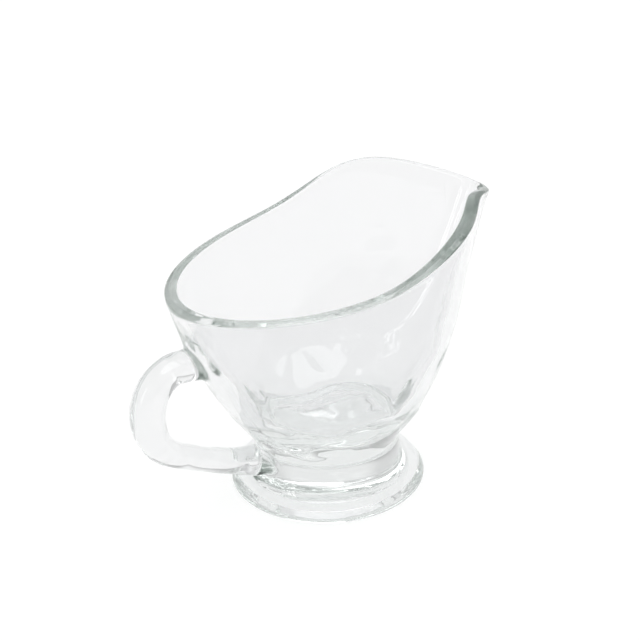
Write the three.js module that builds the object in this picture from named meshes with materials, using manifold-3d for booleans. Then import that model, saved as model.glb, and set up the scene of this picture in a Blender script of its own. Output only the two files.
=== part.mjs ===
// Sauce boat of clear pressed glass: a leaf-shaped bowl with a rising spout, a short stem,
// a round foot and a solid loop handle. The real one is pressed in one go, and the handle
// is joined on hot. Here each of those elements is its own solid.
// Millimetres. +Z is up and +X points along the spout. Every piece is drawn round the foot's
// axis. At the end the whole boat slides along X, so that the origin lies on the surface
// that it stands on, under the middle of its overall length.
import * as THREE from 'three';
import { mergeVertices } from 'three/addons/utils/BufferGeometryUtils.js';
import Module from 'manifold-3d';

const wasm = await Module();
wasm.setup();

// Foot
const footRadius = 32.3;
const footEdgeRound = 0.8;
const footBevelWidth = 3;
const footBevelHeight = 3.4;
const footTopHeight = 4.2;
const restingRingWidth = 2.6;
const recessDepth = 2.2;

// Stem, from the top of the foot to the neck under the bowl
const stemBaseHeight = 8.4;
const stemBaseRadius = 24.7;
const neckHeight = 16.2;
const neckRadius = 23.8;

// Bowl, seen from above: half an ellipse at the back and a leaf point at the spout
const rearReach = 52.5;
const spoutReach = 64;
const bowlHalfWidth = 38.8;
const widestPlace = 5.8;
const leafShapeShare = { inner: 2.65, outer: 2.3, roundAtNeck: 0.9, roundAtRim: 0.3 };

// Rim height: a steady climb from back to front, a shoulder beside the spout, and a
// droop from there to the tip
const rearRimHeight = 76.3;
const rimClimb = 13.9;
const shoulderRise = 9.9;
const shoulderPlace = 36.2;
const shoulderSpread = 21.8;
const tipDroop = 3.2;

// Fullness of the wall from neck to rim: power of the curve, and share that rises straight.
// Just above the neck the wall is hollowed, by this share over this share of its height.
const neckHollowShare = { depth: 0.7, height: 0.05 };
const rearFullnessShare = { power: 1.8, straight: 0.25 };
const sideFullnessShare = { power: 2.8, straight: 0.02 };
const spoutFullnessShare = { power: 3, straight: 0.6 };

// Pouring lip: a small outward curl at the tip of the spout
const lipCurl = 1.2;
const lipCurlHeight = 5;
const lipNarrownessShare = 12;

// Thickness of the glass
const wall = 3.8;
const spoutWall = 4;
const neckWall = 6;
const rimRound = 1.7;
const floorThickness = 6;
const floorDish = 11;
const floorHeight = neckHeight + floorThickness;

// Handle: a solid loop from the back of the bowl down to the stem
const upperRootHeight = 55.6;
const lowerRootHeight = 13.2;
const handleBulge = 28;
const handleThickness = 11.6;
const rootDepth = 4;
const rootFlare = 1.6;
const rootFlareReach = 5;
const rootGap = 0.3;

// The handle's axis: share of the way down from the upper root to the lower one, and
// share of the bulge that it stands out from the straight line between them
const handlePathShares = [
  [-0.01, 0.1], [0.03, 0.365], [0.145, 0.64], [0.355, 0.89],
  [0.575, 0.955], [0.72, 0.79], [0.835, 0.53], [0.945, 0.245],
];
// Thickness in the handle's plane and width across it, as shares of handleThickness at
// even steps along the axis
const handleDepthShares = [0.8, 0.82, 0.88, 0.98, 0.96, 0.82, 0.7, 0.7, 0.73, 0.76, 0.78];
const handleWidthShares = [0.92, 0.92, 0.95, 1, 1, 0.94, 0.84, 0.8, 0.82, 0.92, 1.08];

// Fineness
const segmentsRound = 72;
const wallRings = 13;
const rimRings = 6;
const floorRings = 5;
const curveSteps = 4;
const handleRings = 46;
const handleSides = 18;

const glass = { color: 0xe6efec, roughness: 0.04, metalness: 0, transparent: true, opacity: 0.4 };

// Closed solid through a row of rings. Its first and last entries are single points, and
// turning along a ring and then going on to the next ring keeps the outside on the right.
function ringSolid(firstPoint, rings, lastPoint) {
  const points = [firstPoint, ...rings.flat(), lastPoint];
  const count = rings[0].length;
  const last = points.length - 1;
  const at = (ring, side) => 1 + ring * count + (side % count);
  const index = [];
  for (let side = 0; side < count; side += 1) {
    index.push(0, at(0, side + 1), at(0, side));
    for (let ring = 0; ring < rings.length - 1; ring += 1) {
      index.push(at(ring, side), at(ring, side + 1), at(ring + 1, side + 1));
      index.push(at(ring, side), at(ring + 1, side + 1), at(ring + 1, side));
    }
    index.push(last, at(rings.length - 1, side), at(rings.length - 1, side + 1));
  }
  const geometry = new THREE.BufferGeometry().setFromPoints(points);
  geometry.setIndex(index);
  return geometry;
}

// Solid of revolution round Z. The profile starts and ends on the axis, from the bottom up.
function turned(profile) {
  const lathe = new THREE.LatheGeometry(profile.getPoints(curveSteps), segmentsRound);
  lathe.rotateX(Math.PI / 2);
  lathe.deleteAttribute('normal');
  lathe.deleteAttribute('uv');
  return mergeVertices(lathe);
}

function mix(from, to, share) {
  return THREE.MathUtils.lerp(from, to, share);
}

function roundAngles() {
  return Array.from({ length: segmentsRound }, (_, k) => (2 * Math.PI * k) / segmentsRound);
}

function footSolid() {
  const flatRadius = footRadius - footEdgeRound;
  const recessRadius = flatRadius - restingRingWidth;
  const bevelTopRadius = footRadius - footBevelWidth;
  const profile = new THREE.Path();
  profile.moveTo(0, recessDepth);
  profile.quadraticCurveTo(recessRadius / 2, recessDepth, recessRadius, 0);
  profile.lineTo(flatRadius, 0);
  profile.quadraticCurveTo(footRadius, 0, footRadius, footEdgeRound);
  profile.quadraticCurveTo(flatRadius, footBevelHeight - footEdgeRound, bevelTopRadius, footBevelHeight);
  profile.quadraticCurveTo(stemBaseRadius, footTopHeight, stemBaseRadius, stemBaseHeight);
  profile.lineTo(0, stemBaseHeight);
  return turned(profile);
}

function stemSolid() {
  const profile = new THREE.Path();
  profile.moveTo(0, stemBaseHeight);
  profile.lineTo(stemBaseRadius, stemBaseHeight);
  profile.quadraticCurveTo(neckRadius, mix(stemBaseHeight, neckHeight, 0.5), neckRadius, neckHeight);
  profile.lineTo(0, neckHeight);
  return turned(profile);
}

// The bowl's outside, and the skin that its hollow follows
const outerSkin = {
  rear: rearReach, spout: spoutReach - lipCurl, side: bowlHalfWidth, neck: neckRadius,
};
const innerSkin = {
  rear: rearReach - wall, spout: spoutReach - lipCurl - spoutWall, side: bowlHalfWidth - wall,
  neck: neckRadius - neckWall,
};

// Edge of a skin seen from above, at a turn about Z: 0 at the spout and pi at the handle
function skinEdge(skin, turn, rise) {
  const along = Math.cos(turn);
  const across = Math.sin(turn);
  if (along < 0) {
    return new THREE.Vector2(widestPlace + (skin.rear + widestPlace) * along, skin.side * across);
  }
  const { inner, outer, roundAtNeck, roundAtRim } = leafShapeShare;
  const leaf = (1 - along ** inner) ** outer;
  const roundness = mix(roundAtNeck, roundAtRim, rise);
  const width = mix(leaf, Math.abs(across), roundness) * Math.sign(across);
  return new THREE.Vector2(widestPlace + (skin.spout - widestPlace) * along, skin.side * width);
}

function rimHeight(x) {
  const climbed = (rimClimb * (x + rearReach)) / (rearReach + spoutReach);
  const shoulder = shoulderRise * Math.exp(-(((x - shoulderPlace) / shoulderSpread) ** 2));
  const droop = Math.max(0, (x - shoulderPlace) / (spoutReach - shoulderPlace)) ** 3;
  return rearRimHeight + climbed + shoulder - tipDroop * droop;
}

// Height at which the walls end and the rounded rim begins
function lipHeight(turn) {
  return rimHeight(skinEdge(outerSkin, turn, 1).x) - rimRound;
}

// Share of the way out from neck to rim that the wall has at a share of its height
function wallSpread(turn, rise) {
  const rear = Math.max(0, -Math.cos(turn)) ** 2;
  const spout = Math.max(0, Math.cos(turn)) ** 2;
  const side = 1 - rear - spout;
  const blend = (key) => rear * rearFullnessShare[key] + spout * spoutFullnessShare[key]
    + side * sideFullnessShare[key];
  const full = mix(1 - (1 - rise) ** blend('power'), rise, blend('straight'));
  return full * (1 - neckHollowShare.depth * Math.exp(-rise / neckHollowShare.height));
}

function skinPoint(skin, turn, rise) {
  const edge = skinEdge(skin, turn, rise);
  const spread = wallSpread(turn, rise);
  const top = lipHeight(turn);
  const height = mix(neckHeight, top, rise);
  const curl = lipCurl * Math.max(0, Math.cos(turn)) ** lipNarrownessShare
    * Math.exp((height - top) / lipCurlHeight);
  const x = mix(skin.neck * Math.cos(turn), edge.x, spread) + curl;
  const y = mix(skin.neck * Math.sin(turn), edge.y, spread);
  return new THREE.Vector3(x, y, height);
}

// Share of the wall's height that a height above the table is at
function riseAt(turn, height) {
  return (height - neckHeight) / (lipHeight(turn) - neckHeight);
}

// Inside of the bowl. The floor is a shallow dish that the walls grow out of.
function hollowPoint(turn, height) {
  const point = skinPoint(innerSkin, turn, riseAt(turn, height));
  const dish = Math.min(1, (height - floorHeight) / floorDish);
  const spread = Math.sqrt(1 - (1 - dish) ** 2);
  return new THREE.Vector3(point.x * spread, point.y * spread, height);
}

// Rounded rim from the outer wall over to the hollow
function rimPoint(turn, share) {
  const swing = Math.PI * share;
  const point = skinPoint(outerSkin, turn, 1);
  point.lerp(skinPoint(innerSkin, turn, 1), (1 - Math.cos(swing)) / 2);
  point.z += rimRound * Math.sin(swing);
  return point;
}

function ringOf(pointAt) {
  return roundAngles().map(pointAt);
}

function stepShares(count) {
  return Array.from({ length: count }, (_, k) => k / count);
}

function outerRings() {
  return stepShares(wallRings).map((rise) => ringOf((turn) => skinPoint(outerSkin, turn, rise)));
}

function rimRingsOver() {
  return stepShares(rimRings).map((share) => ringOf((turn) => rimPoint(turn, share)));
}

function hollowRings() {
  const dishTop = floorHeight + floorDish;
  const downWall = stepShares(wallRings).map((share) => ringOf(
    (turn) => hollowPoint(turn, mix(lipHeight(turn), dishTop, share)),
  ));
  const downDish = stepShares(floorRings).map((share) => ringOf(
    (turn) => hollowPoint(turn, mix(dishTop, floorHeight, Math.sin((share * Math.PI) / 2))),
  ));
  return [...downWall, ...downDish];
}

function bowlSolid() {
  const bottom = new THREE.Vector3(0, 0, neckHeight);
  const floor = new THREE.Vector3(0, 0, floorHeight);
  return ringSolid(bottom, [...outerRings(), ...rimRingsOver(), ...hollowRings()], floor);
}

// The bowl without its hollow, to cut the handle with
function bowlCore() {
  const bottom = new THREE.Vector3(0, 0, neckHeight);
  const lid = new THREE.Vector3(0, 0, rearRimHeight);
  return ringSolid(bottom, [...outerRings(), ringOf((turn) => skinPoint(outerSkin, turn, 1))], lid);
}

function upperRoot() {
  return skinPoint(outerSkin, Math.PI, riseAt(Math.PI, upperRootHeight));
}

function lowerRoot() {
  return new THREE.Vector3(-neckRadius, 0, lowerRootHeight);
}

function handleAxis() {
  const top = upperRoot();
  const low = lowerRoot();
  const outwards = new THREE.Vector3(-1, 0, 0);
  const middle = handlePathShares.map(([down, out]) => top.clone().lerp(low, down)
    .addScaledVector(outwards, out * handleBulge));
  const start = top.clone().addScaledVector(outwards, -rootDepth);
  const end = low.clone().addScaledVector(outwards, -rootDepth);
  return new THREE.CatmullRomCurve3([start, ...middle, end], false, 'centripetal');
}

function shareAlong(table, share) {
  const place = share * (table.length - 1);
  const left = Math.min(Math.floor(place), table.length - 2);
  return mix(table[left], table[left + 1], THREE.MathUtils.smoothstep(place - left, 0, 1));
}

// Oval section of the handle, swollen where it runs into the bowl and the stem
function handleSection(axis, share, length) {
  const centre = axis.getPointAt(share);
  const across = new THREE.Vector3(0, 1, 0);
  const outwards = across.clone().cross(axis.getTangentAt(share));
  const toRoot = Math.max(0, Math.min(share, 1 - share) * length - rootDepth);
  const flare = rootFlare * Math.exp(-toRoot / rootFlareReach);
  const depth = (handleThickness * shareAlong(handleDepthShares, share)) / 2 + flare;
  const width = (handleThickness * shareAlong(handleWidthShares, share)) / 2 + flare;
  return Array.from({ length: handleSides }, (_, k) => {
    const swing = (2 * Math.PI * k) / handleSides;
    return centre.clone().addScaledVector(outwards, depth * Math.cos(swing))
      .addScaledVector(across, width * Math.sin(swing));
  });
}

function handleBlank() {
  const axis = handleAxis();
  const length = axis.getLength();
  const rings = Array.from({ length: handleRings + 1 }, (_, k) => (
    handleSection(axis, k / handleRings, length)));
  return ringSolid(axis.getPointAt(0), rings, axis.getPointAt(1));
}

// The same solid with its skin moved out by a gap
function grown(geometry, gap) {
  const bigger = geometry.clone();
  bigger.computeVertexNormals();
  const { position, normal } = bigger.attributes;
  for (let k = 0; k < position.count; k += 1) {
    const point = new THREE.Vector3().fromBufferAttribute(position, k);
    point.addScaledVector(new THREE.Vector3().fromBufferAttribute(normal, k), gap);
    position.setXYZ(k, point.x, point.y, point.z);
  }
  return bigger;
}

function toManifold(geometry) {
  const vertProperties = new Float32Array(geometry.attributes.position.array);
  const triVerts = new Uint32Array(geometry.index.array);
  return new wasm.Manifold(new wasm.Mesh({ numProp: 3, vertProperties, triVerts }));
}

function fromManifold(solid) {
  const { vertProperties, triVerts } = solid.getMesh();
  const geometry = new THREE.BufferGeometry();
  geometry.setAttribute('position', new THREE.BufferAttribute(vertProperties, 3));
  geometry.setIndex(new THREE.BufferAttribute(triVerts, 1));
  return geometry;
}

// The handle's ends are hollowed to the bowl and the stem that they are joined to
function handleSolid() {
  const neighbours = [bowlCore(), stemSolid(), footSolid()];
  const cut = neighbours.reduce(
    (rest, neighbour) => rest.subtract(toManifold(grown(neighbour, rootGap))),
    toManifold(handleBlank()),
  );
  return fromManifold(cut);
}

function addPiece(group, name, geometry) {
  geometry.computeVertexNormals();
  const mesh = new THREE.Mesh(geometry, new THREE.MeshStandardMaterial(glass));
  mesh.name = name;
  group.add(mesh);
}

const sauceBoat = new THREE.Group();
addPiece(sauceBoat, 'bowl', bowlSolid());
addPiece(sauceBoat, 'stem', stemSolid());
addPiece(sauceBoat, 'foot', footSolid());
addPiece(sauceBoat, 'handle', handleSolid());

const middle = new THREE.Box3().setFromObject(sauceBoat).getCenter(new THREE.Vector3());
sauceBoat.position.x = -middle.x;

export default sauceBoat;
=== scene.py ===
# A sauce boat of clear pressed glass, standing on a pale floor under soft studio light.
# The glass is one mesh, as the real one is one piece: ring by ring from under the foot up
# the outside, over the rim and down the hollow, with the handle bridged to openings in it.
# Metres. X runs from the handle to the spout, Z is up.
import math
import bmesh
import bpy
from mathutils import Matrix, Vector


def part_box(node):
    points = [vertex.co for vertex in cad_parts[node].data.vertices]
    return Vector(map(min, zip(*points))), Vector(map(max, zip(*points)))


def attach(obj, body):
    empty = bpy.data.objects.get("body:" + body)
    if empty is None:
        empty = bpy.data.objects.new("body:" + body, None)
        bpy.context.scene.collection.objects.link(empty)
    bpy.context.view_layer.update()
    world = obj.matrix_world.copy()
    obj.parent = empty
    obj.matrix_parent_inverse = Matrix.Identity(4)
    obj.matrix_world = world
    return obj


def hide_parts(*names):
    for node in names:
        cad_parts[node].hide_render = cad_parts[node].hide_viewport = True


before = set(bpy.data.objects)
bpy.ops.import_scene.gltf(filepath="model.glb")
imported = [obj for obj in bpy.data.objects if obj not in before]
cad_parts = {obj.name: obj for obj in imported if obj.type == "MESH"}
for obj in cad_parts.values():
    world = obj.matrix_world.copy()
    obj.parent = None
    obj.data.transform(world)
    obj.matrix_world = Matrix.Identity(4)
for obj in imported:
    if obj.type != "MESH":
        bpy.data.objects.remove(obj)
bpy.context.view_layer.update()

bowlLow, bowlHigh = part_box("bowl")
footLow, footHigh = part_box("foot")
stemLow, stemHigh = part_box("stem")
footAxis = Vector(((footLow.x + footHigh.x) / 2, 0, 0))

# The cage that the glass is drawn from: the columns round it, the times it is divided to
# make it smooth, and how near in height two corners are to lie on one ring
cage = {
    "columns": 64,
    "divisions": 2,
    "sameHeight": 0.00001,
}


def deselectAll():
    for thing in bpy.context.selected_objects:
        thing.select_set(False)


def mix(low, high, share):
    return low + (high - low) * share


def startRing(name, sides, radius, centre):
    deselectAll()
    bpy.ops.mesh.primitive_circle_add(vertices=sides, radius=radius, location=centre)
    piece = bpy.context.object
    piece.name = name
    piece.data.name = name
    bpy.ops.object.transform_apply(location=True, rotation=True, scale=True)
    bpy.ops.object.mode_set(mode="EDIT")
    mesh = bmesh.from_edit_mesh(piece.data)
    turnLayer = mesh.verts.layers.float.new("turn")
    for vertex in mesh.verts:
        vertex[turnLayer] = math.atan2(vertex.co.y - centre[1], vertex.co.x - centre[0])
    bmesh.update_edit_mesh(piece.data)
    bpy.ops.mesh.select_mode(type="EDGE")
    bpy.ops.mesh.select_all(action="SELECT")
    return piece


def nextRoundRing(radius, height, fromRadius, fromHeight):
    lift = (0, 0, height - fromHeight)
    bpy.ops.mesh.extrude_region_move(TRANSFORM_OT_translate={"value": lift})
    scale = radius / fromRadius
    centre = (footAxis.x, 0, height)
    bpy.ops.transform.resize(value=(scale, scale, 1), center_override=centre)


# Each corner of the new ring is put where pointAt says for its turn, the angle about the
# ring's axis that it began with
def nextShapedRing(piece, pointAt, extrude=True):
    if extrude:
        bpy.ops.mesh.extrude_region_move()
    mesh = bmesh.from_edit_mesh(piece.data)
    turnLayer = mesh.verts.layers.float["turn"]
    for vertex in mesh.verts:
        if vertex.select:
            vertex.co = pointAt(vertex[turnLayer])
    bmesh.update_edit_mesh(piece.data)


# Foot: the recess under it, the ring that it rests on, the bevelled edge and the sweep
# up to the stem. Each entry is how far inside the foot's radius, and how high.
foot = {
    "radius": (footHigh.y - footLow.y) / 2,
    "underside": [(0.0273, 0.0021), (0.0185, 0.0018), (0.0095, 0.001), (0.0039, 0.00015)],
    "restingRing": [(0.003, 0), (0.0011, 0)],
    "bevel": [(0.0001, 0.0003), (-0.0001, 0.001), (0.0004, 0.0018), (0.0014, 0.0029)],
    "shoulder": [(0.0021, 0.0037)],
    "sweep": [(0.0038, 0.0039), (0.0056, 0.0044), (0.0068, 0.0058)],
    "shoulderCrease": 0.8,
    "sweepSlope": 0.167,
}

# Stem: a short collar that narrows a little to the neck under the bowl
stem = {
    "baseRadius": (stemHigh.y - stemLow.y) / 2,
    "baseHeight": stemLow.z,
    "neckRadius": 0.0238,
    "neckHeight": stemHigh.z,
    "neckCrease": 0.45,
}


# Foot and stem, from the middle of the underside out and up to the neck
def raiseFoot():
    insets = foot["underside"] + foot["restingRing"]
    insets += foot["bevel"] + foot["shoulder"] + foot["sweep"]
    rings = [(foot["radius"] - inset, height) for inset, height in insets]
    halfWay = (stem["baseHeight"] + stem["neckHeight"]) / 2
    rings += [
        (stem["baseRadius"], stem["baseHeight"]),
        ((stem["baseRadius"] + stem["neckRadius"]) / 2, halfWay),
        (stem["neckRadius"], stem["neckHeight"]),
    ]
    radius, height = rings[0]
    piece = startRing("sauceBoatGlass", cage["columns"], radius, (footAxis.x, 0, height))
    for nextRadius, nextHeight in rings[1:]:
        nextRoundRing(nextRadius, nextHeight, radius, height)
        radius, height = nextRadius, nextHeight
    return piece


# The photo's rim set against the solids' rim: how much shorter the spout is, and how much
# wider each side
rimFit = {
    "shorter": 0.0012,
    "wider": 0.0011,
}

# Bowl: half an ellipse at the back, a leaf point at the spout, and a rim that climbs to a
# shoulder and then droops to the tip. Steps go up the wall, down the hollow and in over
# the floor. The rim's profile is how far out and how high, from the outer skin to the inner.
bowl = {
    "rearReach": footAxis.x - bowlLow.x,
    "spoutReach": bowlHigh.x - footAxis.x - rimFit["shorter"],
    "halfWidth": bowlHigh.y + rimFit["wider"],
    "widestPlace": 0.0058,
    "leafInner": 4.92,
    "leafOuter": 6.4,
    "roundAtNeck": 0.75,
    "roundAtRim": 0.57,
    "roundPower": 0.3,
    "rearRimHeight": 0.0768,
    "rimClimb": 0.009,
    "shoulderRise": 0.012,
    "shoulderPlace": 0.04,
    "shoulderSpread": 0.0248,
    "tipDroop": 0.001,
    "tipDroopPower": 3,
    "power": {"rear": 2.38, "side": 2.8, "spout": 3.0},
    "straight": {"rear": 0.55, "side": 0.14, "spout": 0.55},
    "neckHollowDepth": 0.7,
    "neckHollowHeight": 0.05,
    "lipCurl": 0.0001,
    "lipCurlHeight": 0.0024,
    "lipNarrowness": 12,
    "lipSwell": 0.0013,
    "lipSwellHeight": 0.005,
    "lipSwellNarrowness": 0.9,
    "wall": 0.004,
    "spoutWall": 0.0048,
    "neckWall": 0.006,
    "rimRound": 0.002,
    "rimProfile": [(1, 0), (1, 0.3), (0.94, 0.51), (0.6, 0.75), (0.25, 0.93), (0.06, 1),
                   (-0.35, 1.02), (-0.8, 1), (-1, 0.83), (-1, 0.45), (-1, 0)],
    "floorHeight": 0.0222,
    "floorDish": 0.011,
    "wallSteps": [0.055, 0.115, 0.19, 0.28, 0.37, 0.46, 0.547, 0.598, 0.649, 0.701,
                  0.752, 0.803, 0.86, 0.915, 0.95, 0.975],
    "hollowSteps": [0.03, 0.09, 0.18, 0.28, 0.39, 0.5, 0.61, 0.72, 0.82, 0.91, 1],
    "dishSteps": [0.78, 0.56, 0.36, 0.2, 0.09, 0.025],
}


# A skin is one side of the bowl's wall: its reach back, to the spout and to each side at
# the rim, its radius at the neck, and how far it swells out just under the spout's lip
def outerSkin():
    return {
        "rear": bowl["rearReach"],
        "spout": bowl["spoutReach"] - bowl["lipCurl"] - bowl["lipSwell"],
        "side": bowl["halfWidth"],
        "neck": stem["neckRadius"],
        "swell": bowl["lipSwell"],
    }


def innerSkin():
    skin = outerSkin()
    skin["rear"] -= bowl["wall"]
    skin["spout"] -= bowl["spoutWall"] - bowl["lipSwell"]
    skin["side"] -= bowl["wall"]
    skin["neck"] -= bowl["neckWall"]
    skin["swell"] = 0
    return skin


# Outline of a skin seen from above. A turn is the angle about the foot's axis, 0 at the
# spout, and a rise is 0 at the neck and 1 at the rim.
def skinEdge(skin, turn, rise):
    along, across = math.cos(turn), math.sin(turn)
    widest = bowl["widestPlace"]
    if along < 0:
        return widest + (skin["rear"] + widest) * along, skin["side"] * across
    leaf = max(0, 1 - along ** bowl["leafInner"]) ** bowl["leafOuter"]
    roundness = mix(bowl["roundAtNeck"], bowl["roundAtRim"], rise ** bowl["roundPower"])
    width = math.copysign(mix(leaf, abs(across), roundness), across)
    return widest + (skin["spout"] - widest) * along, skin["side"] * width


def rimHeight(x):
    length = bowl["rearReach"] + bowl["spoutReach"]
    climbed = bowl["rimClimb"] * (x + bowl["rearReach"]) / length
    beside = (x - bowl["shoulderPlace"]) / bowl["shoulderSpread"]
    shoulder = bowl["shoulderRise"] * math.exp(-beside ** 2)
    past = max(0, (x - bowl["shoulderPlace"]) / (bowl["spoutReach"] - bowl["shoulderPlace"]))
    droop = bowl["tipDroop"] * past ** bowl["tipDroopPower"]
    return bowl["rearRimHeight"] + climbed + shoulder - droop


def lipHeight(turn):
    return rimHeight(skinEdge(outerSkin(), turn, 1)[0]) - bowl["rimRound"]


# How far a wall has spread from the neck's circle to the rim's outline
def wallSpread(turn, rise):
    rear = max(0, -math.cos(turn)) ** 2
    spout = max(0, math.cos(turn)) ** 2
    side = 1 - rear - spout
    power, straight = (
        rear * table["rear"] + spout * table["spout"] + side * table["side"]
        for table in (bowl["power"], bowl["straight"])
    )
    full = mix(1 - (1 - rise) ** power, rise, straight)
    return full * (1 - bowl["neckHollowDepth"] * math.exp(-rise / bowl["neckHollowHeight"]))


# A point of a skin. Towards the lip of the spout it swells outwards and curls over a little.
def skinPoint(skin, turn, rise):
    edgeX, edgeY = skinEdge(skin, turn, rise)
    spread = wallSpread(turn, rise)
    top = lipHeight(turn)
    height = mix(stem["neckHeight"], top, rise)
    curl = bowl["lipCurl"] * max(0, math.cos(turn)) ** bowl["lipNarrowness"]
    curl *= math.exp((height - top) / bowl["lipCurlHeight"])
    x = mix(skin["neck"] * math.cos(turn), edgeX, spread)
    y = mix(skin["neck"] * math.sin(turn), edgeY, spread)
    outwards = Vector((x, y, 0)).normalized()
    swell = skin["swell"] * max(0, math.cos(turn)) ** bowl["lipSwellNarrowness"]
    swell *= math.exp((height - top) / bowl["lipSwellHeight"])
    return footAxis + Vector((x + curl, y, height)) + outwards * swell


def riseAt(turn, height):
    return (height - stem["neckHeight"]) / (lipHeight(turn) - stem["neckHeight"])


# The hollow follows the inner skin and closes in to a rounded floor
def hollowPoint(turn, height):
    point = skinPoint(innerSkin(), turn, riseAt(turn, height)) - footAxis
    dish = min(1, (height - bowl["floorHeight"]) / bowl["floorDish"])
    spread = math.sqrt(1 - (1 - dish) ** 2)
    return footAxis + Vector((point.x * spread, point.y * spread, height))


# The rim's top is a land that is flat on its inner half and slopes down on its outer half
def rimPoint(turn, across, up):
    outer = skinPoint(outerSkin(), turn, 1)
    inner = skinPoint(innerSkin(), turn, 1)
    middle = (outer + inner) / 2
    return middle + (outer - middle) * across + Vector((0, 0, bowl["rimRound"] * up))


# Fills the selected ring with a grid that takes a quarter of the columns to a side
def closeRing():
    bpy.ops.mesh.fill_grid(span=cage["columns"] // 4)


# Bowl, from the neck up the outside, over the rim and down the hollow to its floor
def raiseBowl(piece):
    skin = outerSkin()
    for rise in bowl["wallSteps"]:
        nextShapedRing(piece, lambda turn: skinPoint(skin, turn, rise))
    for across, up in bowl["rimProfile"]:
        nextShapedRing(piece, lambda turn: rimPoint(turn, across, up))
    dishTop = bowl["floorHeight"] + bowl["floorDish"]
    for share in bowl["hollowSteps"]:
        nextShapedRing(piece, lambda turn: hollowPoint(turn, mix(lipHeight(turn), dishTop, share)))
    for share in bowl["dishSteps"]:
        height = bowl["floorHeight"] + bowl["floorDish"] * share
        nextShapedRing(piece, lambda turn: hollowPoint(turn, height))
    closeRing()


def selectOpenEdges(piece, wanted):
    bpy.ops.mesh.select_mode(type="EDGE")
    bpy.ops.mesh.select_all(action="DESELECT")
    mesh = bmesh.from_edit_mesh(piece.data)
    for edge in mesh.edges:
        edge.select_set(edge.is_boundary and wanted(edge))
    bmesh.update_edit_mesh(piece.data)


def turnNormalsOut():
    bpy.ops.mesh.select_all(action="SELECT")
    bpy.ops.mesh.normals_make_consistent(inside=False)


def closeUnderside(piece):
    selectOpenEdges(piece, lambda edge: True)
    closeRing()
    turnNormalsOut()


# Keeps a level ring a little sharp. It comes last, because extruding would copy the crease.
def sharpenRing(piece, height, amount):
    bpy.ops.mesh.select_mode(type="EDGE")
    bpy.ops.mesh.select_all(action="DESELECT")
    mesh = bmesh.from_edit_mesh(piece.data)
    for edge in mesh.edges:
        level = all(abs(vertex.co.z - height) < cage["sameHeight"] for vertex in edge.verts)
        edge.select_set(level)
    bmesh.update_edit_mesh(piece.data)
    bpy.ops.transform.edge_crease(value=amount)


# Handle: its axis from the bowl down to the stem, seen from the side and measured from
# the foot's axis, and its half depth and half width at each of those points
handle = {
    "sides": 18,
    "stepsBetween": 3,
    "axis": [(-0.0503, 0.0558), (-0.0545, 0.0559), (-0.0597, 0.0529), (-0.0632, 0.0473),
             (-0.0641, 0.0393), (-0.0615, 0.0312), (-0.0542, 0.0248), (-0.0436, 0.0195),
             (-0.0345, 0.0158), (-0.0276, 0.0138)],
    "halfDepth": [0.005, 0.0049, 0.0052, 0.0057, 0.0057,
                  0.0049, 0.0041, 0.0041, 0.0043, 0.0048],
    "halfWidth": [0.0056, 0.0054, 0.0056, 0.0058, 0.0058,
                  0.0055, 0.0049, 0.0047, 0.0053, 0.0068],
    "directionStep": 0.01,
    "bridgeCuts": 2,
    "rootCrease": 0.45,
    "searchSteps": 24,
}

# Where the handle grows out of the glass: the patch of wall that is opened for it, as
# columns to each side and heights at the back, and the oval that the opening becomes
upperRoot = {
    "columns": 2,
    "from": 0.0478,
    "to": 0.0636,
    "height": 0.0556,
    "halfWidth": 0.0076,
    "halfHeight": 0.0078,
}
lowerRoot = {
    "columns": 3,
    "from": 0.0082,
    "to": 0.0197,
    "height": 0.0132,
    "halfWidth": 0.0084,
    "halfHeight": 0.0058,
}


# The outer surface of foot, stem or bowl at a height, for the handle's roots
def wallPoint(turn, height):
    if height > stem["neckHeight"]:
        return skinPoint(outerSkin(), turn, riseAt(turn, height))
    share = max(0, (height - stem["baseHeight"]) / (stem["neckHeight"] - stem["baseHeight"]))
    radius = mix(stem["baseRadius"], stem["neckRadius"], share)
    radius += max(0, stem["baseHeight"] - height) * foot["sweepSlope"]
    return footAxis + Vector((radius * math.cos(turn), radius * math.sin(turn), height))


# The same surface at the back, found by how far it is to one side
def backPoint(side, height):
    near, far = math.pi / 2, math.pi
    for _ in range(handle["searchSteps"]):
        turn = (near + far) / 2
        if wallPoint(turn, height).y > abs(side):
            near = turn
        else:
            far = turn
    return wallPoint(math.copysign(near, side), height)


# Takes a patch of faces out of the back of the wall and makes the opening oval. The reach
# is half a column wider than the patch, so that it falls between two columns.
def openRoot(piece, root):
    bpy.ops.mesh.select_mode(type="FACE")
    bpy.ops.mesh.select_all(action="DESELECT")
    mesh = bmesh.from_edit_mesh(piece.data)
    turnLayer = mesh.verts.layers.float["turn"]
    reach = (root["columns"] + 0.5) * 2 * math.pi / cage["columns"]
    for face in mesh.faces:
        atBack = all(math.pi - abs(v[turnLayer]) < reach for v in face.verts)
        atHeight = all(root["from"] < v.co.z < root["to"] for v in face.verts)
        face.select_set(atBack and atHeight and face.normal.x < 0)
    bmesh.update_edit_mesh(piece.data)
    bpy.ops.mesh.delete(type="FACE")
    mesh = bmesh.from_edit_mesh(piece.data)
    rim = [v for v in mesh.verts if v.is_boundary and root["from"] < v.co.z < root["to"]]
    rim.sort(key=lambda v: math.atan2(v.co.y, v.co.z - root["height"]))
    top = max(range(len(rim)), key=lambda k: rim[k].co.z - abs(rim[k].co.y))
    for k, vertex in enumerate(rim):
        swing = 2 * math.pi * (k - top) / len(rim)
        side = root["halfWidth"] * math.sin(swing)
        vertex.co = backPoint(side, root["height"] + root["halfHeight"] * math.cos(swing))
    bmesh.update_edit_mesh(piece.data)
    print("opened a root with", len(rim), "sides")


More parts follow.
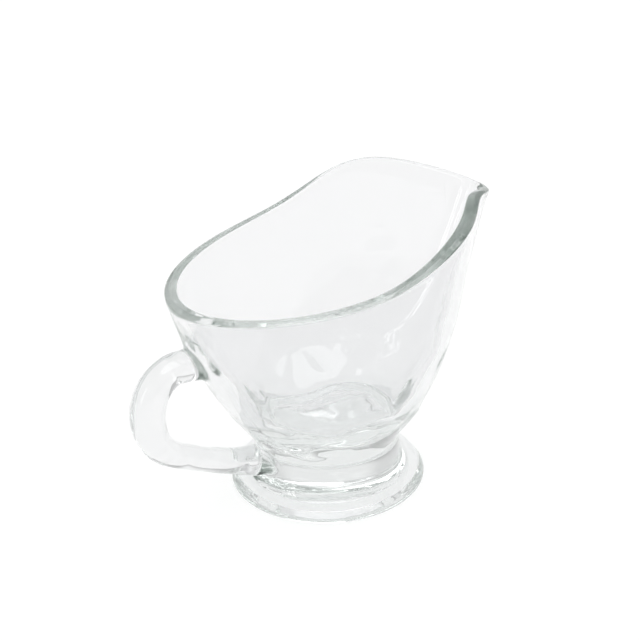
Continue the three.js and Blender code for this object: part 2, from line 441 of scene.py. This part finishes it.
# A smooth curve through every entry of a list, at a place counted in entries
def alongCurve(points, place):
    last = len(points) - 1
    left = min(int(place), last - 1)
    near = [points[min(max(left + k, 0), last)] for k in (-1, 0, 1, 2)]
    t = place - left
    weights = (
        (-t + 2 * t ** 2 - t ** 3) / 2,
        (2 - 5 * t ** 2 + 3 * t ** 3) / 2,
        (t + 4 * t ** 2 - 3 * t ** 3) / 2,
        (-t ** 2 + t ** 3) / 2,
    )
    return sum((point * weight for point, weight in zip(near, weights)), near[0] * 0)


def handleSection(place):
    axis = [Vector((x, 0, z)) for x, z in handle["axis"]]
    step = handle["directionStep"]
    centre = footAxis + alongCurve(axis, place)
    along = (alongCurve(axis, place + step) - alongCurve(axis, place - step)).normalized()
    across = Vector((0, 1, 0))
    outwards = across.cross(along)
    depth = alongCurve(handle["halfDepth"], place)
    width = alongCurve(handle["halfWidth"], place)
    return lambda turn: (
        centre + outwards * depth * math.cos(turn) + across * width * math.sin(turn)
    )


def drawHandle():
    spans = len(handle["axis"]) - 1
    count = spans * handle["stepsBetween"]
    piece = startRing("handleLoop", handle["sides"], handle["halfDepth"][0], (0, 0, 0))
    nextShapedRing(piece, handleSection(0), extrude=False)
    for step in range(1, count + 1):
        nextShapedRing(piece, handleSection(step * spans / count))
    bpy.ops.object.mode_set(mode="OBJECT")
    return piece


# Opens the wall at both roots, draws the handle between them and bridges it to the openings
def joinHandle(piece):
    for root in (upperRoot, lowerRoot):
        openRoot(piece, root)
    selectOpenEdges(piece, lambda edge: True)
    bpy.ops.transform.edge_crease(value=handle["rootCrease"])
    bpy.ops.object.mode_set(mode="OBJECT")
    loop = drawHandle()
    deselectAll()
    loop.select_set(True)
    piece.select_set(True)
    bpy.context.view_layer.objects.active = piece
    bpy.ops.object.join()
    bpy.ops.object.mode_set(mode="EDIT")
    between = (upperRoot["height"] + lowerRoot["height"]) / 2
    for above in (True, False):
        selectOpenEdges(piece, lambda edge: (edge.verts[0].co.z > between) == above)
        bpy.ops.mesh.bridge_edge_loops(
            number_cuts=handle["bridgeCuts"], interpolation="SURFACE", smoothness=1
        )
    turnNormalsOut()
    bpy.ops.object.mode_set(mode="OBJECT")


# The mould and the cooling leave the glass gently wavy: broad waves on the walls, and
# deeper ones with fine ripples round the floor of the bowl. They grow from the height
# "from" to "full" and end between "fade" and "to", so none reach the ring that the foot
# rests on, nor the rim.
waves = {
    "wallWaves": {
        "size": 0.016, "height": 0.0005,
        "from": 0.012, "full": 0.03, "fade": 0.068, "to": 0.074,
    },
    "floorWaves": {
        "size": 0.0085, "height": 0.0011,
        "from": 0.018, "full": 0.022, "fade": 0.028, "to": 0.042,
    },
    "floorRipples": {
        "size": 0.0042, "height": 0.0003,
        "from": 0.02, "full": 0.023, "fade": 0.028, "to": 0.036,
    },
}


def addWaves(piece, name, wave):
    group = piece.vertex_groups.new(name=name)
    for vertex in piece.data.vertices:
        height = vertex.co.z
        risen = (height - wave["from"]) / (wave["full"] - wave["from"])
        left = (wave["to"] - height) / (wave["to"] - wave["fade"])
        weight = max(0, min(1, risen, left))
        if weight > 0:
            group.add([vertex.index], weight, "REPLACE")
    pattern = bpy.data.textures.new(name, "CLOUDS")
    pattern.noise_scale = wave["size"]
    pattern.noise_depth = 0
    waving = piece.modifiers.new(name, "DISPLACE")
    waving.texture = pattern
    waving.texture_coords = "LOCAL"
    waving.strength = wave["height"]
    waving.vertex_group = group.name
    bpy.ops.object.modifier_apply(modifier=waving.name)
    piece.vertex_groups.clear()


def smoothGlass(piece):
    smoothing = piece.modifiers.new("smoothing", "SUBSURF")
    smoothing.levels = smoothing.render_levels = cage["divisions"]
    bpy.context.view_layer.objects.active = piece
    bpy.ops.object.modifier_apply(modifier=smoothing.name)
    for name, wave in waves.items():
        addWaves(piece, name, wave)
    piece.data.attributes.remove(piece.data.attributes["turn"])
    bpy.ops.object.shade_smooth()


# Clear soda-lime glass, greyer and a little greener the further light travels in it.
# Rays that light the floor pass straight through, so it stays bright under the glass.
glassFinish = {
    "surface": (0.912, 0.914, 0.92, 1),
    "bend": 1.5,
    "depthColour": (0.775, 0.81, 0.79, 1),
    "depthDensity": 11,
    "lightLet": (0.985, 0.988, 0.987, 1),
}


def makeGlass():
    material = bpy.data.materials.new("clearPressedGlass")
    material.use_nodes = True
    nodes, links = material.node_tree.nodes, material.node_tree.links
    nodes.clear()
    output = nodes.new("ShaderNodeOutputMaterial")
    shader = nodes.new("ShaderNodeBsdfPrincipled")
    shader.inputs["Base Color"].default_value = glassFinish["surface"]
    shader.inputs["Roughness"].default_value = 0.0
    shader.inputs["IOR"].default_value = glassFinish["bend"]
    shader.inputs["Transmission Weight"].default_value = 1
    clear = nodes.new("ShaderNodeBsdfTransparent")
    clear.inputs["Color"].default_value = glassFinish["lightLet"]
    lightPath = nodes.new("ShaderNodeLightPath")
    surface = shader.outputs["BSDF"]
    for ray in ("Is Shadow Ray", "Is Diffuse Ray"):
        chooser = nodes.new("ShaderNodeMixShader")
        links.new(lightPath.outputs[ray], chooser.inputs["Fac"])
        links.new(surface, chooser.inputs[1])
        links.new(clear.outputs["BSDF"], chooser.inputs[2])
        surface = chooser.outputs["Shader"]
    links.new(surface, output.inputs["Surface"])
    tint = nodes.new("ShaderNodeVolumeAbsorption")
    tint.inputs["Color"].default_value = glassFinish["depthColour"]
    tint.inputs["Density"].default_value = glassFinish["depthDensity"]
    links.new(tint.outputs["Volume"], output.inputs["Volume"])
    return material


# Pale floor, a hair below the foot
floorFinish = {
    "sides": 96,
    "radius": 4,
    "below": 0.0002,
    "colour": (0.93, 0.93, 0.93, 1),
    "roughness": 0.9,
}


def layFloor():
    deselectAll()
    bpy.ops.mesh.primitive_circle_add(
        vertices=floorFinish["sides"],
        radius=floorFinish["radius"],
        fill_type="NGON",
        location=(0, 0, -floorFinish["below"]),
    )
    floor = bpy.context.object
    floor.name = "paleFloor"
    bpy.ops.object.transform_apply(location=True, rotation=True, scale=True)
    paint = bpy.data.materials.new("paleFloorPaint")
    paint.use_nodes = True
    shader = paint.node_tree.nodes["Principled BSDF"]
    shader.inputs["Base Color"].default_value = floorFinish["colour"]
    shader.inputs["Roughness"].default_value = floorFinish["roughness"]
    floor.data.materials.append(paint)


# A pale room, dimmer at the horizon and brighter in one patch beyond the boat, a broad
# soft light overhead, and a tall window of two panes beyond the handle, on the camera's
# left. Room entries are a height, from 0 at the horizon to 1 overhead, and a brightness.
light = {
    "room": [(0, 0.5), (0.2, 0.55), (0.45, 0.8), (1, 0.8)],
    "patchAzimuth": math.radians(30),
    "patchHeight": math.radians(28),
    "patchEdge": 0.86,
    "patchFull": 0.96,
    "patchGlow": (1, 1, 1, 1),
    "skyPower": 1.08,
    "skyAngle": math.radians(50),
    "skyTilt": math.radians(15),
    "windowAzimuth": math.radians(-96),
    "windowDistance": 1.6,
    "sillHeight": 0.08,
    "paneWidth": 0.11,
    "paneHeight": 0.95,
    "paneSpacing": 0.2,
    "paneGlow": 3.5,
}

# A colour Mix node's own sockets, which share their names with its other kinds
mixFirstColour = 6
mixSecondColour = 7
mixResultColour = 2


# Level direction from the boat to an azimuth, which is 0 on the far side and 90 at the spout
def towards(azimuth):
    return Vector((math.sin(azimuth), math.cos(azimuth), 0))


def paintRoom():
    world = bpy.data.worlds.new("softRoom")
    bpy.context.scene.world = world
    world.use_nodes = True
    nodes, links = world.node_tree.nodes, world.node_tree.links
    place = nodes.new("ShaderNodeTexCoord")
    split = nodes.new("ShaderNodeSeparateXYZ")
    ramp = nodes.new("ShaderNodeValToRGB")
    links.new(place.outputs["Generated"], split.inputs["Vector"])
    links.new(split.outputs["Z"], ramp.inputs["Fac"])
    stops = ramp.color_ramp.elements
    while len(stops) < len(light["room"]):
        stops.new(1)
    for stop, (height, grey) in zip(stops, light["room"]):
        stop.position = height
        stop.color = (grey, grey, grey, 1)
    facing = nodes.new("ShaderNodeVectorMath")
    facing.operation = "DOT_PRODUCT"
    lift = light["patchHeight"]
    middle = towards(light["patchAzimuth"]) * math.cos(lift)
    middle.z = math.sin(lift)
    facing.inputs[1].default_value = middle
    links.new(place.outputs["Generated"], facing.inputs[0])
    edge = nodes.new("ShaderNodeMapRange")
    edge.interpolation_type = "SMOOTHSTEP"
    edge.inputs["From Min"].default_value = light["patchEdge"]
    edge.inputs["From Max"].default_value = light["patchFull"]
    links.new(facing.outputs["Value"], edge.inputs["Value"])
    patch = nodes.new("ShaderNodeMix")
    patch.data_type = "RGBA"
    links.new(edge.outputs["Result"], patch.inputs["Factor"])
    links.new(ramp.outputs["Color"], patch.inputs[mixFirstColour])
    patch.inputs[mixSecondColour].default_value = light["patchGlow"]
    links.new(patch.outputs[mixResultColour], nodes["Background"].inputs["Color"])


def hangSky():
    deselectAll()
    bpy.ops.object.light_add(type="SUN", rotation=(light["skyTilt"], 0, 0))
    sky = bpy.context.object
    sky.name = "overheadSky"
    sky.data.energy = light["skyPower"]
    sky.data.angle = light["skyAngle"]


def hangPane(side):
    ahead = towards(light["windowAzimuth"])
    across = Vector((ahead.y, -ahead.x, 0))
    place = ahead * light["windowDistance"] + across * side * light["paneSpacing"] / 2
    place.z = light["paneHeight"] / 2 + light["sillHeight"]
    deselectAll()
    bpy.ops.object.light_add(type="AREA", location=place)
    pane = bpy.context.object
    pane.name = "windowPane"
    pane.rotation_euler = ahead.to_track_quat("Z", "Y").to_euler()
    pane.data.shape = "RECTANGLE"
    pane.data.size = light["paneWidth"]
    pane.data.size_y = light["paneHeight"]
    pane.data.energy = light["paneGlow"] * math.pi * light["paneWidth"] * light["paneHeight"]
    pane.visible_camera = False
    pane.visible_diffuse = False


def lightStudio():
    paintRoom()
    hangSky()
    for side in (-1, 1):
        hangPane(side)


# Camera at the photo's angle. The aim is measured from the foot's axis on the floor, to
# the right and upwards in the picture.
studio = {
    "photoSize": 640,
    "sensor": 36,
    "azimuth": math.radians(30),
    "elevation": math.radians(27.5),
    "roll": math.radians(-1.9),
    "distance": 0.6,
    "pixelsPerMetre": 2965,
    "aimRight": -0.00265,
    "aimUp": 0.0508,
    "bounces": 128,
}


def placeCamera():
    azimuth, elevation, roll = studio["azimuth"], studio["elevation"], studio["roll"]
    ahead = towards(azimuth)
    level = Vector((math.cos(azimuth), -math.sin(azimuth), 0))
    lifted = ahead * math.sin(elevation) + Vector((0, 0, math.cos(elevation)))
    forward = ahead * math.cos(elevation) - Vector((0, 0, math.sin(elevation)))
    right = level * math.cos(roll) + lifted * math.sin(roll)
    up = lifted * math.cos(roll) - level * math.sin(roll)
    target = footAxis + right * studio["aimRight"] + up * studio["aimUp"]
    data = bpy.data.cameras.new("photoCamera")
    data.sensor_width = studio["sensor"]
    focal = studio["pixelsPerMetre"] * studio["distance"]
    data.lens = focal / studio["photoSize"] * studio["sensor"]
    camera = bpy.data.objects.new("photoCamera", data)
    bpy.context.scene.collection.objects.link(camera)
    turned = Matrix((right, up, -forward)).transposed().to_4x4()
    camera.matrix_world = Matrix.Translation(target - forward * studio["distance"]) @ turned
    bpy.context.scene.camera = camera


# Light crosses many layers of glass before it leaves it
def setCycles():
    scene = bpy.context.scene
    scene.view_settings.view_transform = "Standard"
    scene.cycles.max_bounces = studio["bounces"]
    scene.cycles.transmission_bounces = studio["bounces"]
    scene.cycles.glossy_bounces = studio["bounces"]
    scene.cycles.transparent_max_bounces = studio["bounces"]
    scene.cycles.caustics_reflective = False
    scene.cycles.caustics_refractive = False


print("raising the foot and stem")
glass = raiseFoot()
print("raising the bowl")
raiseBowl(glass)
closeUnderside(glass)
sharpenRing(glass, foot["shoulder"][0][1], foot["shoulderCrease"])
sharpenRing(glass, stem["neckHeight"], stem["neckCrease"])
print("joining the handle")
joinHandle(glass)
print("smoothing the glass")
smoothGlass(glass)
glass.data.materials.clear()
glass.data.materials.append(makeGlass())
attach(glass, "root")
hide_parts("bowl", "stem", "foot", "handle")
print("glass faces:", len(glass.data.polygons))

print("setting the studio")
layFloor()
lightStudio()
placeCamera()
setCycles()
